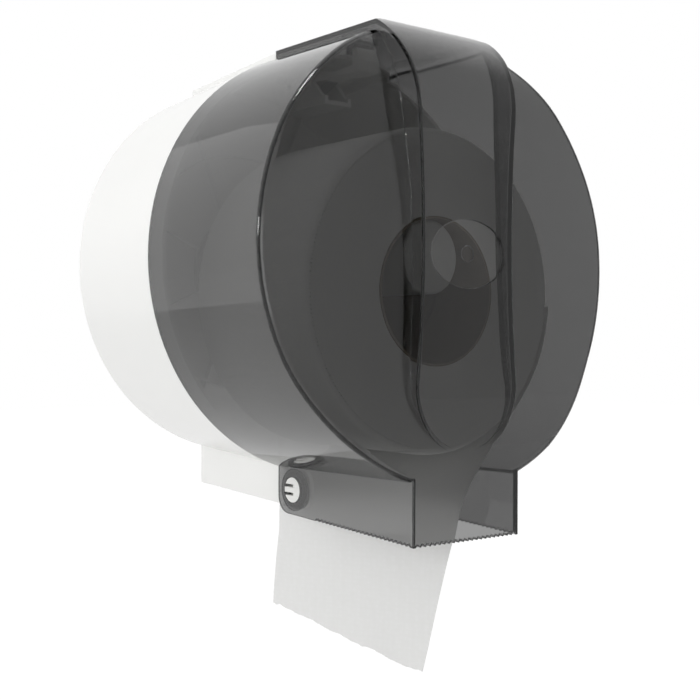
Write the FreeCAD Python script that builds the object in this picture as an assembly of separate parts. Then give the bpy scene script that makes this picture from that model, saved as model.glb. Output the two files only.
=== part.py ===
import FreeCAD, Part
import math
import os

# Wall-mounted dispenser for one jumbo toilet roll.
# Millimetres, +Z up. The wall is the plane Y = 0 and the object stands out along -Y.
# The origin is on the wall, on the axis of the round drum.

Vector = FreeCAD.Vector
ORIGIN = Vector(0, 0, 0)
X_AXIS = Vector(1, 0, 0)
Y_AXIS = Vector(0, 1, 0)
Z_AXIS = Vector(0, 0, 1)

# One overrun serves every cut, and one running clearance every turning fit.
overrun = 5.0
running_gap = 0.08
seat_gap = 0.4

# Drum of the cover, which most of the dispenser is sized from
cover_rim_radius = 120.0
cover_draft = 0.5
cover_skin = 2.4
cover_reach = 106.2
front_edge_round = 3.2
edge_samples = 5
cover_front_radius = cover_rim_radius - cover_draft
span = 2 * cover_rim_radius

# Front of the cover: crowned, set back towards the top, leaning out into the throat
crown_radius = 1275.0
top_break_height = 30.0
top_set_back = 9.4
top_break_round = 500.0
shoulder_height = 94.0
shoulder_set_back = 13.0
shoulder_round = 60.0
lean_start_drop = 58.0
lean_start_rise = 2.2
lean_start_round = 150.0
lean_end_margin = 22.0

# Drum of the rear housing, which the cover overhangs by a small step
cover_step = 1.0
housing_draft = 6.1
housing_depth = 92.4
housing_skin = 2.6
back_plate = 3.0
parting_gap = 0.4
housing_rim_radius = cover_rim_radius - cover_step
housing_wall_radius = housing_rim_radius - housing_draft
cover_rim_depth = housing_depth + parting_gap
cover_front_depth = housing_depth + cover_reach
lean_end_drop = cover_rim_radius - lean_end_margin

# Raised pad that runs down the front and back over the top of the cover
pad_rise = 8.2
tongue_rise = 4.5
tongue_half_width = 39.3
pad_waist_half_width = 31.3
pad_foot_half_width = 35.0
pad_waist_height = 5.0
pad_foot_margin = 53.0
pad_top_round = 52.0
pad_foot_drop = cover_rim_radius - pad_foot_margin
pad_front_depth = cover_front_depth + pad_rise
tongue_radius = cover_rim_radius + tongue_rise

# Oval panel sunk in the pad
oval_half_width = 26.0
oval_half_height = 17.5
oval_depth = 1.0
dot_radius = 4.2
dot_depth = 0.4

# Throat of the cover, open below, with teeth along its lower edge
throat_half_width = 36.8
throat_rim_reach = 19.3
throat_front_reach = 6.4
throat_root_margin = 60.0
ear_round = 9.5
tooth_pitch = 3.2
tooth_height = 1.7
throat_rim_drop = cover_rim_radius + throat_rim_reach
throat_front_drop = throat_rim_drop + throat_front_reach
throat_root_drop = cover_rim_radius - throat_root_margin

# Hinge at the lower rear corners of the throat
hinge_set_back = 13.0
hinge_foot = 12.8
hinge_pin_radius = 6.9
hinge_boss_radius = 11.5
hinge_boss_rise = 2.0
hinge_head_radius = 9.0
hinge_head_thickness = 2.0
hinge_arm_reach = 12.0
pin_slot = 1.7
pin_slot_pitch = 4.6
pin_slot_reach_share = 0.15
teeth_margin = 21.1
hinge_depth = cover_rim_depth + hinge_set_back
hinge_drop = throat_rim_drop - hinge_foot
teeth_start_depth = hinge_depth + teeth_margin

# Throat of the housing, a step inside the cover's
throat_side_step = 4.8
throat_foot_step = 3.0
base_throat_draft = 4.3
housing_side_draft = 2.2
base_throat_half_width = throat_half_width - throat_side_step
base_throat_rim_drop = throat_rim_drop - throat_foot_step
base_throat_wall_drop = base_throat_rim_drop - base_throat_draft

# Lip on the housing that enters the cover
lip_gap = 0.6
lip_side_gap = 1.2
lip_skin = 2.2
lip_reach = 10.0
lip_root = 8.0
lip_taper = 1.5
lip_end_margin = 40.0
lip_end_drop = cover_rim_radius - lip_end_margin

# Wall fixing holes and the ribs of the back plate
fixing_spacing_x = 124.0
fixing_spacing_z = 120.0
fixing_hole_radius = 2.75
fixing_boss_radius = 8.0
fixing_boss_rise = 3.0
rib_skin = 1.8
rib_rise = 4.5
rib_count = 8
rib_ring_margin = 46.0
rib_ring_radius = cover_rim_radius - rib_ring_margin

# Spindle that carries the roll
flange_radius = 36.0
flange_thickness = 4.0
cone_root_radius = 26.0
stop_radius = 31.0
stop_thickness = 2.5
sleeve_radius = 19.5
sleeve_skin = 1.8
post_skin = 2.6
cap_thickness = 2.4
edge_chamfer = 0.9
spindle_recess = 5.0
cap_plug_reach = 9.0
cap_plug_skin = 1.8
spindle_screw_count = 3
spindle_screw_circle = 31.0

# Screws
screw_radius = 1.9
screw_head_radius = 3.7
screw_crown_radius = 2.9
screw_head_height = 2.2
screw_cross_radius = 2.2
screw_cross_width = 0.9
screw_cross_depth = 1.1

# Roll of paper
roll_room = 34.4
roll_width = 96.0
roll_front_gap = 16.5
core_bore_radius = 38.0
core_skin = 1.2
core_proud = 0.8
wind_gap = 0.1
hang_gap = 0.35
roll_radius = cover_rim_radius - roll_room
roll_front_depth = cover_front_depth - roll_front_gap

# Loose end of the paper
tail_thickness = 0.6
tail_gap = 0.8
tail_front_reach = 86.0
tail_rear_reach = 56.7
tail_front_skew = 25.0
tail_rear_skew = 15.0
tail_wrap_start = 10.0
tail_front_wrap = 37.0
tail_rear_wrap = 63.0
tail_stations = 20
tail_rows = 6
tail_throat_rise = 14.0
tail_throat_fall = 16.0
tail_front_shares = (0.70, 0.66, 0.36)
tail_rear_shares = (-0.66, -0.72, -0.66)
tail_skew_shares = (0.16, 0.50, 1.0)
tail_front_drop = throat_rim_drop + tail_front_reach
tail_rear_drop = throat_rim_drop + tail_rear_reach

# Latch under the top of the housing
latch_half_width = 7.0
latch_set_back = 27.0
latch_reach = 27.6
latch_drop = 12.0
latch_pivot_radius = 1.5
latch_arm_thickness = 3.6
latch_nose_length = 6.4
latch_nose_gap = 3.1
latch_hub_radius = 3.6
catch_skin = 2.2
catch_gap = 0.6
catch_drop = 8.9
catch_half_width = 9.0
key_slot_half_width = 7.0
key_slot_length = 3.0
bracket_cheek = 2.4
bracket_skin = 2.4
bracket_tail = 9.0
bracket_reach = 6.0
bracket_drop = 14.0
bracket_wing = 9.0
bracket_wing_length = 12.0
boss_radius = 4.6
latch_pivot_depth = housing_depth - latch_set_back
latch_pivot_height = cover_rim_radius - latch_drop
latch_nose_depth = housing_depth + latch_reach
latch_nose_height = tongue_radius - cover_skin - latch_nose_gap
catch_height = tongue_radius - catch_drop
bracket_front_depth = housing_depth + bracket_reach
bracket_floor_height = latch_pivot_height - bracket_drop

# Folded leaf spring under the latch
leaf_half_width = 4.0
leaf_skin = 0.5
leaf_gap = 0.1
leaf_tip_margin = 5.0
leaf_corner_margin = 6.0
leaf_fold_radius = 2.0
leaf_stud_radius = 1.4
leaf_tip_depth = bracket_front_depth - leaf_tip_margin
leaf_corner_depth = latch_pivot_depth - leaf_corner_margin
leaf_stud_depth = (leaf_tip_depth + latch_pivot_depth) / 2


def block(x_low, x_high, y_low, y_high, z_low, z_high):
    """Box between two corners."""
    corner = Vector(x_low, y_low, z_low)
    return Part.makeBox(x_high - x_low, y_high - y_low, z_high - z_low, corner)


def drum(radius_back, radius_front, depth_back, depth_front):
    """Round solid about the drum axis, from one depth to a greater one."""
    start = Vector(0, -depth_back, 0)
    height = depth_front - depth_back
    if radius_back == radius_front:
        return Part.makeCylinder(radius_back, height, start, -Y_AXIS)
    return Part.makeCone(radius_back, radius_front, height, start, -Y_AXIS)


def rod(radius, start, end):
    """Round bar between two points."""
    line = end - start
    return Part.makeCylinder(radius, line.Length, start, line)


def rounded_wire(corners, place):
    """Closed wire through corners (u, v, radius), each rounded by its radius."""
    edges = []
    ends = []
    count = len(corners)
    for index in range(count):
        u, v, radius = corners[index]
        here = Vector(u, v, 0)
        before = Vector(corners[index - 1][0], corners[index - 1][1], 0)
        after = Vector(corners[(index + 1) % count][0], corners[(index + 1) % count][1], 0)
        if radius == 0:
            ends.append((here, here))
            continue
        back = (before - here).normalize()
        ahead = (after - here).normalize()
        half = back.getAngle(ahead) / 2
        reach = radius / math.tan(half)
        middle = (back + ahead).normalize() * (radius / math.sin(half) - radius)
        first = here + back * reach
        last = here + ahead * reach
        edges.append(Part.Arc(place(first), place(here + middle), place(last)).toShape())
        ends.append((first, last))
    for index in range(count):
        start = ends[index - 1][1]
        end = ends[index][0]
        if (end - start).Length > 0:
            edges.append(Part.LineSegment(place(start), place(end)).toShape())
    return Part.Wire(Part.__sortEdges__(edges))


def side_place(point):
    """Side view: u is depth from the wall, v is height."""
    return Vector(0, -point.x, point.y)


def side_prism(corners, half_width):
    """Side-view outline carried across the object."""
    face = Part.Face(rounded_wire(corners, side_place))
    face.translate(Vector(-half_width, 0, 0))
    return face.extrude(Vector(2 * half_width, 0, 0))


def front_prism(face, depth_back, depth_front):
    """Front-view face carried from one depth to a greater one."""
    moved = face.copy()
    moved.translate(Vector(0, -depth_back, 0))
    return moved.extrude(Vector(0, depth_back - depth_front, 0))


def arch_height(radius, half_width):
    """Height of a circle about the drum axis at a distance from the middle."""
    return math.sqrt(radius ** 2 - half_width ** 2)


def pad_face(inset):
    """Front-view outline of the pad: foot round, drawn-in waist, arched top."""
    foot = pad_foot_half_width - inset
    waist = pad_waist_half_width - inset
    top = tongue_half_width - inset
    radius = tongue_radius - inset
    top_height = arch_height(radius, top)
    corners = [Vector(side * top, 0, top_height) for side in (-1, 1)]
    feet = [Vector(side * foot, 0, -pad_foot_drop) for side in (-1, 1)]
    waists = [Vector(side * waist, 0, pad_waist_height) for side in (-1, 1)]
    edges = [
        Part.Arc(corners[0], Vector(0, 0, radius), corners[1]).toShape(),
        Part.Arc(corners[1], waists[1], feet[1]).toShape(),
        Part.Arc(feet[1], Vector(0, 0, -pad_foot_drop - foot), feet[0]).toShape(),
        Part.Arc(feet[0], waists[0], corners[0]).toShape(),
    ]
    return Part.Face(Part.Wire(edges))


def front_rim_edges(body):
    """Edges where the drum of the cover meets its front."""
    found = []
    halfway = (cover_rim_depth + cover_front_depth) / 2
    for edge in body.Edges:
        points = edge.discretize(edge_samples)
        ahead = min(-point.y for point in points) > halfway
        outside = min(math.hypot(point.x, point.z) for point in points) > cover_front_radius - cover_skin
        if ahead and outside:
            found.append(edge)
    return found


def crowned_space(inset):
    """All that lies behind the front of the cover, drawn in by an inset."""
    top_break = cover_front_depth - inset
    top_slope = top_set_back / (cover_rim_radius - top_break_height)
    shoulder = top_break - top_slope * (shoulder_height - top_break_height)
    shoulder_slope = top_slope + shoulder_set_back / (cover_rim_radius - shoulder_height)
    throat_front = pad_front_depth - inset
    outline = [
        (0, span, 0),
        (shoulder - shoulder_slope * (span - shoulder_height), span, 0),
        (shoulder, shoulder_height, shoulder_round),
        (top_break, top_break_height, top_break_round),
        (top_break + lean_start_rise, -lean_start_drop, lean_start_round),
        (throat_front, -lean_end_drop, 0),
        (throat_front, -span, 0),
        (0, -span, 0),
    ]
    face = Part.Face(rounded_wire(outline, side_place))
    axis = Vector(0, crown_radius - cover_front_depth, 0)
    turn = math.degrees(math.asin(span / crown_radius))
    face.rotate(axis, Z_AXIS, -turn)
    return face.revolve(axis, Z_AXIS, 2 * turn)


def cover_form(inset, back_depth, foot):
    """Solid form of the cover, drawn in by an inset, from a depth, down by a foot."""
    reach = pad_front_depth + overrun
    space = crowned_space(inset)
    round_part = drum(cover_rim_radius - inset, cover_front_radius - inset, back_depth, reach)
    round_part = round_part.common(space)
    if inset == 0:
        round_part = round_part.makeFillet(front_edge_round, front_rim_edges(round_part))
    throat_front = pad_front_depth - inset
    ear = ear_round if foot == 0 else 0
    outline = [
        (back_depth, -throat_root_drop, 0),
        (reach, -throat_root_drop, 0),
        (reach, -throat_front_drop - foot, 0),
        (throat_front, -throat_front_drop - foot, 0),
        (back_depth, -throat_rim_drop - foot, ear),
    ]
    throat = side_prism(outline, throat_half_width - inset).common(space)
    body = round_part.fuse(throat)
    pad_outline = [
        (back_depth, tongue_radius - inset, 0),
        (throat_front, tongue_radius - inset, pad_top_round - inset),
        (throat_front, -span, 0),
        (back_depth, -span, 0),
    ]
    pad = front_prism(pad_face(inset), back_depth, reach).common(side_prism(pad_outline, span))
    return body, pad


def tooth_notches():
    """Prisms that leave saw teeth along the front and both sides of the throat."""
    notches = []
    lowest = -throat_front_drop
    count = int(2 * throat_half_width / tooth_pitch)
    first = -count * tooth_pitch / 2
    points = [Vector(first, 0, lowest - overrun)]
    for index in range(count):
        left = first + index * tooth_pitch
        points.append(Vector(left, 0, lowest))
        points.append(Vector(left + tooth_pitch / 2, 0, lowest + tooth_height))
    points.append(Vector(first + count * tooth_pitch, 0, lowest))
    points.append(Vector(first + count * tooth_pitch, 0, lowest - overrun))
    face = Part.Face(Part.makePolygon(points + [points[0]]))
    inner_depth = pad_front_depth - cover_skin - tooth_height
    notches.append(front_prism(face, inner_depth, pad_front_depth + overrun))
    run = pad_front_depth - cover_skin - teeth_start_depth
    count = int(run / tooth_pitch)
    slope = (throat_front_drop - throat_rim_drop) / (pad_front_depth - cover_rim_depth)
    points = []
    for index in range(count + 1):
        depth = teeth_start_depth + index * tooth_pitch
        low = -throat_rim_drop - slope * (depth - cover_rim_depth)
        points.append(Vector(0, -depth, low))
        if index < count:
            peak = low + tooth_height - slope * tooth_pitch / 2
            points.append(Vector(0, -depth - tooth_pitch / 2, peak))
    points.append(Vector(0, points[-1].y, lowest - overrun))
    points.append(Vector(0, points[0].y, lowest - overrun))
    face = Part.Face(Part.makePolygon(points + [points[0]]))
    face.translate(Vector(-span, 0, 0))
    notches.append(face.extrude(Vector(2 * span, 0, 0)))
    return notches


def make_cover():
    """Clear moulded cover: drum, leaning front, raised pad, throat, ears and catch."""
    body, pad = cover_form(0, cover_rim_depth, 0)
    inner_body, inner_pad = cover_form(cover_skin, cover_rim_depth - overrun, overrun)
    shell = body.fuse(pad).cut(inner_body.fuse(inner_pad))
    # Thicker ears round the hinge pins
    for side in (-1, 1):
        outer = side * (throat_half_width - cover_skin / 2)
        inner = side * (throat_half_width - cover_skin - hinge_boss_rise)
        centre = [Vector(x, -hinge_depth, -hinge_drop) for x in (outer, inner)]
        shell = shell.fuse(rod(hinge_boss_radius, centre[0], centre[1]))
        hole = [Vector(side * x, -hinge_depth, -hinge_drop) for x in (0, span)]
        shell = shell.cut(rod(hinge_pin_radius + running_gap, hole[0], hole[1]))
    # Catch rib under the tongue, and the slot for the key
    top_inner = tongue_radius - cover_skin / 2
    catch_front = latch_nose_depth - catch_gap
    shell = shell.fuse(block(
        -catch_half_width, catch_half_width, -catch_front, -catch_front + catch_skin,
        catch_height, top_inner,
    ))
    slot_middle = latch_nose_depth + latch_nose_length / 2
    shell = shell.cut(block(
        -key_slot_half_width, key_slot_half_width,
        -slot_middle - key_slot_length / 2, -slot_middle + key_slot_length / 2,
        tongue_radius - 2 * cover_skin, tongue_radius + overrun,
    ))
    # Oval panel with a plain round centre
    oval = Part.Ellipse(ORIGIN, oval_half_width, oval_half_height).toShape()
    oval.rotate(ORIGIN, X_AXIS, 90)
    oval_face = Part.Face(Part.Wire([oval]))
    shell = shell.cut(front_prism(oval_face, pad_front_depth - oval_depth, pad_front_depth + overrun))
    dot_start = Vector(0, -pad_front_depth + oval_depth + dot_depth, 0)
    dot_end = Vector(0, -pad_front_depth - overrun, 0)
    shell = shell.cut(rod(dot_radius, dot_start, dot_end))
    for notch in tooth_notches():
        shell = shell.cut(notch)
    return shell.removeSplitter()


def housing_radius(depth):
    """Outer radius of the housing's drum at a depth, with its moulding draft."""
    growth = (housing_rim_radius - housing_wall_radius) / housing_depth
    return housing_wall_radius + growth * depth


def drafted_block(half_width, back_depth, front_depth, z_low, z_high):
    """Block that narrows towards the wall by the housing's draft; its width is at the rim."""
    halves = []
    for depth in (back_depth, front_depth):
        halves.append(half_width - housing_side_draft * (1 - depth / housing_depth))
    corners = [
        Vector(-halves[0], -back_depth, z_low),
        Vector(-halves[1], -front_depth, z_low),
        Vector(halves[1], -front_depth, z_low),
        Vector(halves[0], -back_depth, z_low),
    ]
    face = Part.Face(Part.makePolygon(corners + [corners[0]]))
    return face.extrude(Vector(0, 0, z_high - z_low))


def housing_form(inset, back_depth, front_depth, foot):
    """Solid form of the housing, drawn in by an inset."""
    back = housing_radius(back_depth) - inset
    front = housing_radius(front_depth) - inset
    round_part = drum(back, front, back_depth, front_depth)
    arch = drum(back + tongue_rise, front + tongue_rise, back_depth, front_depth)
    tongue = arch.common(drafted_block(tongue_half_width - seat_gap - inset, back_depth, front_depth, 0, span))
    outline = [
        (back_depth, -throat_root_drop, 0),
        (front_depth, -throat_root_drop, 0),
        (front_depth, -base_throat_rim_drop - foot, 0),
        (back_depth, -base_throat_wall_drop - foot, 0),
    ]
    throat = side_prism(outline, span)
    throat = throat.common(drafted_block(base_throat_half_width - inset, back_depth, front_depth, -span, 0))
    return round_part.fuse(tongue).fuse(throat)


def make_housing():
    """White rear housing: back plate, drum, tongue, throat, lip, arms and ribs."""
    outer = housing_form(0, 0, housing_depth, 0)
    inner = housing_form(housing_skin, back_plate, housing_depth + overrun, overrun)
    shell = outer.cut(inner)
    # Lip that enters the cover, left off beside the hinge
    lip_radius = cover_rim_radius - cover_skin - lip_gap
    start = housing_depth - lip_root
    end = housing_depth + lip_reach
    lip_half = tongue_half_width - cover_skin - lip_side_gap
    parts = []
    for skin in (0, lip_skin):
        radius = lip_radius - skin
        round_part = drum(radius, radius - lip_taper, start - skin, end + skin)
        arch = drum(radius + tongue_rise, radius + tongue_rise - lip_taper, start - skin, end + skin)
        half = lip_half - skin
        parts.append(round_part.fuse(arch.common(block(-half, half, -span, 0, 0, span))))
    lip = parts[0].cut(parts[1])
    lip = lip.cut(block(-span, span, -span, 0, -span, -lip_end_drop))
    shell = shell.fuse(lip)
    # Arms that hold the hinge pins
    arm_end = hinge_depth + hinge_arm_reach
    arm_top = hinge_drop - hinge_arm_reach
    for side in (-1, 1):
        near = side * (base_throat_half_width - housing_skin)
        far = side * base_throat_half_width
        outline = [
            (housing_depth - lip_root, -arm_top, 0),
            (arm_end, -arm_top, hinge_arm_reach - housing_skin),
            (arm_end, -hinge_drop - hinge_arm_reach, hinge_arm_reach - housing_skin),
            (housing_depth - lip_root, -base_throat_rim_drop + housing_skin, 0),
        ]
        arm = side_prism(outline, base_throat_half_width)
        arm = arm.common(block(min(near, far), max(near, far), -span, 0, -span, 0))
        shell = shell.fuse(arm)
        hole = [Vector(side * x, -hinge_depth, -hinge_drop) for x in (0, span)]
        shell = shell.cut(rod(hinge_pin_radius + running_gap, hole[0], hole[1]))
    # Ribs and bosses on the back plate
    rib_top = back_plate + rib_rise
    ring = drum(rib_ring_radius + rib_skin / 2, rib_ring_radius + rib_skin / 2, back_plate / 2, rib_top)
    bore = drum(rib_ring_radius - rib_skin / 2, rib_ring_radius - rib_skin / 2, 0, rib_top + overrun)
    ribs = ring.cut(bore)
    for index in range(rib_count):
        rib = block(
            -rib_skin / 2, rib_skin / 2, -rib_top, -back_plate / 2,
            flange_radius + rib_skin, housing_wall_radius - housing_skin / 2,
        )
        rib.rotate(ORIGIN, Y_AXIS, (index + 1 / 2) * 360 / rib_count)
        ribs = ribs.fuse(rib)
    shell = shell.fuse(ribs)
    for x_side in (-1, 1):
        for z_side in (-1, 1):
            x = x_side * fixing_spacing_x / 2
            z = z_side * fixing_spacing_z / 2
            top = back_plate + fixing_boss_rise
            shell = shell.fuse(rod(fixing_boss_radius, Vector(x, 0, z), Vector(x, -top, z)))
            hole = rod(fixing_hole_radius, Vector(x, overrun, z), Vector(x, -top - overrun, z))
            shell = shell.cut(hole)
    for point in spindle_screw_points():
        shell = shell.cut(rod(screw_radius + running_gap, point + Y_AXIS * overrun, point - Y_AXIS * span))
    # Bosses that take the latch screws
    for point in latch_screw_points():
        roof_radius = housing_radius(latch_pivot_depth) + tongue_rise - housing_skin / 2
        roof = Vector(point.x, point.y, arch_height(roof_radius, point.x))
        shell = shell.fuse(rod(boss_radius, Vector(point.x, point.y, bracket_seat_height), roof))
        shell = shell.cut(rod(screw_radius + running_gap, point, Vector(point.x, point.y, screw_end_height)))
    return shell.removeSplitter()


def spindle_screw_points():
    """Places of the screws that hold the spindle, on the wall plane."""
    points = []
    for index in range(spindle_screw_count):
        turn = math.radians(90 + index * 360 / spindle_screw_count)
        across = spindle_screw_circle * math.cos(turn)
        up = spindle_screw_circle * math.sin(turn)
        points.append(Vector(across, 0, up))
    return points


bracket_half_width = latch_half_width + running_gap * 2 + bracket_cheek
bracket_seat_height = latch_pivot_height + latch_hub_radius + seat_gap + bracket_skin
wing_middle = bracket_half_width + bracket_wing / 2
screw_end_height = bracket_seat_height + boss_radius


def latch_screw_points():
    """Places of the two screws under the latch bracket's wings."""
    low = bracket_seat_height - bracket_skin
    depth = latch_pivot_depth
    return [Vector(side * wing_middle, -depth, low) for side in (-1, 1)]


def screw(point, direction, length):
    """Pan-head screw with a cross slot; the head's underside is at the point."""
    rim_height = screw_head_height / 2
    shoulder = point - direction * rim_height
    crown = point - direction * screw_head_height
    body = rod(screw_radius, shoulder, point + direction * length)
    body = body.fuse(rod(screw_head_radius, point, shoulder))
    cone_height = screw_head_height - rim_height
    body = body.fuse(Part.makeCone(screw_head_radius, screw_crown_radius, cone_height, shoulder, -direction))
    across = Z_AXIS if direction == Y_AXIS else X_AXIS
    other = across.cross(direction)
    body = body.cut(slot_block(crown, across, other, direction))
    return body.cut(slot_block(crown, other, across, direction)).removeSplitter()


def slot_block(crown, arm, width, direction):
    """One bar of a screw's cross slot."""
    corners = []
    for along, side in ((-1, -1), (1, -1), (1, 1), (-1, 1)):
        flat = arm * (along * screw_cross_radius) + width * (side * screw_cross_width / 2)
        corners.append(crown + flat - direction * overrun)
    face = Part.Face(Part.makePolygon(corners + [corners[0]]))
    return face.extrude(direction * (overrun + screw_cross_depth))


def make_hinge_pin(side):
    """Snap pin: head inside the arm, split end flush with the ear."""
    inner = base_throat_half_width - housing_skin - running_gap
    centre = [Vector(side * x, -hinge_depth, -hinge_drop) for x in (inner, throat_half_width)]
    head_start = Vector(side * (inner - hinge_head_thickness), -hinge_depth, -hinge_drop)
    pin = rod(hinge_pin_radius, head_start, centre[1])
    pin = pin.fuse(rod(hinge_head_radius, head_start, centre[0]))
    slot_reach = hinge_pin_radius * pin_slot_reach_share
    for level in (-1, 1):
        z = -hinge_drop + level * pin_slot_pitch / 2
        x_near = side * (base_throat_half_width)
        x_far = side * (throat_half_width + overrun)
        slot = block(
            min(x_near, x_far), max(x_near, x_far),
            -hinge_depth - slot_reach, -hinge_depth + 2 * hinge_pin_radius,
            z - pin_slot / 2, z + pin_slot / 2,
        )
        pin = pin.cut(slot)
    return pin


roll_back_depth = roll_front_depth - roll_width
sleeve_bore = sleeve_radius - sleeve_skin
post_radius = sleeve_bore - running_gap
roll_centre_drop = core_bore_radius - sleeve_radius - hang_gap
stop_front_depth = roll_back_depth - core_proud - seat_gap
sleeve_front_depth = roll_front_depth - spindle_recess - cap_thickness
flange_front_depth = back_plate + flange_thickness


def make_spindle_bracket():
    """Fixed post: screwed flange, tapering foot, stop disc and hollow post."""
    stop_back = stop_front_depth - stop_thickness
    profile = [
        (back_plate, 0, 0),
        (back_plate, flange_radius, 0),
        (flange_front_depth - edge_chamfer, flange_radius, 0),
        (flange_front_depth, flange_radius - edge_chamfer, 0),
        (flange_front_depth, cone_root_radius, 0),
        (stop_back, sleeve_radius, 0),
        (stop_back, stop_radius, 0),
        (stop_front_depth - edge_chamfer, stop_radius, 0),
        (stop_front_depth, stop_radius - edge_chamfer, 0),
        (stop_front_depth, post_radius, 0),
        (sleeve_front_depth, post_radius, 0),
        (sleeve_front_depth, 0, 0),
    ]
    body = Part.Face(rounded_wire(profile, side_place)).revolve(ORIGIN, Y_AXIS, 360)
    bore_radius = post_radius - post_skin
    body = body.cut(drum(bore_radius, bore_radius, 0, sleeve_front_depth + overrun))
    for point in spindle_screw_points():
        hole = rod(screw_radius + running_gap, point, point - Y_AXIS * (flange_front_depth + overrun))
        body = body.cut(hole)
    return body


def make_spindle_screws():
    """Three screws that hold the spindle to the back plate."""
    screws = []
    for point in spindle_screw_points():
        seat = point - Y_AXIS * (flange_front_depth + running_gap)
        screws.append(screw(seat, Y_AXIS, flange_front_depth - back_plate / 4))
    return Part.makeCompound(screws)


def make_sleeve():
    """Plain tube that turns on the post under the core."""
    start = stop_front_depth + seat_gap
    end = sleeve_front_depth - running_gap
    tube = drum(sleeve_radius, sleeve_radius, start, end)
    return tube.cut(drum(sleeve_bore, sleeve_bore, start - overrun, end + overrun))


def make_cap():
    """Round end cap with a split plug pressed into the post."""
    start = sleeve_front_depth + running_gap
    plug_radius = post_radius - post_skin - running_gap
    profile = [
        (start, 0, 0),
        (start, sleeve_radius, 0),
        (start + cap_thickness - edge_chamfer, sleeve_radius, 0),
        (start + cap_thickness, sleeve_radius - edge_chamfer, 0),
        (start + cap_thickness, 0, 0),
    ]
    disc = Part.Face(rounded_wire(profile, side_place)).revolve(ORIGIN, Y_AXIS, 360)
    plug = drum(plug_radius, plug_radius, start - cap_plug_reach, start + cap_thickness / 2)
    hollow = plug_radius - cap_plug_skin
    plug = plug.cut(drum(hollow, hollow, start - cap_plug_reach - overrun, start))
    cap = disc.fuse(plug)
    for turn in (0, 90):
        slot = block(
            -plug_radius - overrun, plug_radius + overrun,
            -start + running_gap, -start + cap_plug_reach + overrun,
            -cap_plug_skin / 2, cap_plug_skin / 2,
        )
        slot.rotate(ORIGIN, Y_AXIS, turn)
        cap = cap.cut(slot)
    return cap


def make_core():
    """Cardboard tube in the middle of the roll."""
    radius = core_bore_radius + core_skin
    start = roll_back_depth - core_proud
    end = roll_front_depth + core_proud
    tube = drum(radius, radius, start, end)
    tube = tube.cut(drum(core_bore_radius, core_bore_radius, start - overrun, end + overrun))
    tube.translate(Vector(0, 0, -roll_centre_drop))
    return tube


def make_roll():
    """Wound paper, flat at both ends."""
    bore = core_bore_radius + core_skin + wind_gap
    roll = drum(roll_radius, roll_radius, roll_back_depth, roll_front_depth)
    roll = roll.cut(drum(bore, bore, roll_back_depth - overrun, roll_front_depth + overrun))
    roll.translate(Vector(0, 0, -roll_centre_drop))
    return roll


def tail_row(share):
    """Points down the loose end, from the roll to its end, at a share of its width."""
    def between(front, rear):
        return front + (rear - front) * share

    radius = roll_radius + tail_gap
    depth = between(roll_front_depth, roll_back_depth)
    wrap_end = between(tail_front_wrap, tail_rear_wrap)
    skew = between(tail_front_skew, tail_rear_skew)
    end_drop = between(tail_front_drop, tail_rear_drop)
    knots = []
    for turn in (tail_wrap_start, (tail_wrap_start + wrap_end) / 2, wrap_end):
        across = radius * math.cos(math.radians(turn))
        down = radius * math.sin(math.radians(turn))
        knots.append(Vector(across, -depth, -roll_centre_drop - down))
    drops = (throat_rim_drop - tail_throat_rise, throat_rim_drop + tail_throat_fall, end_drop)
    for index in range(len(drops)):
        across_share = between(tail_front_shares[index], tail_rear_shares[index])
        back = skew * tail_skew_shares[index] - depth
        knots.append(Vector(across_share * throat_half_width, back, -drops[index]))
    curve = Part.BSplineCurve()
    curve.interpolate(knots)
    return curve.discretize(tail_stations)


def flat_face(points):
    """Plane face through points."""
    return Part.Face(Part.makePolygon(points + [points[0]]))


def make_tail():
    """Loose end of the paper, a thin twisted sheet hanging through the throat."""
    rows = [tail_row(index / (tail_rows - 1)) for index in range(tail_rows)]
    across = Vector(tail_thickness, 0, 0)
    faces = []
    rim = []
    for near, far in zip(rows, rows[1:]):
        for index in range(tail_stations - 1):
            corners = [near[index], near[index + 1], far[index + 1], far[index]]
            for points in (corners[:3], [corners[0], corners[2], corners[3]]):
                faces.append(flat_face(points))
                faces.append(flat_face([point + across for point in points]))
        rim.append((near[0], far[0]))
        rim.append((near[-1], far[-1]))
    for row in (rows[0], rows[-1]):
        rim.extend(zip(row, row[1:]))
    for start, end in rim:
        faces.append(flat_face([start, end, end + across, start + across]))
    return Part.Solid(Part.Shell(faces))


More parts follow.
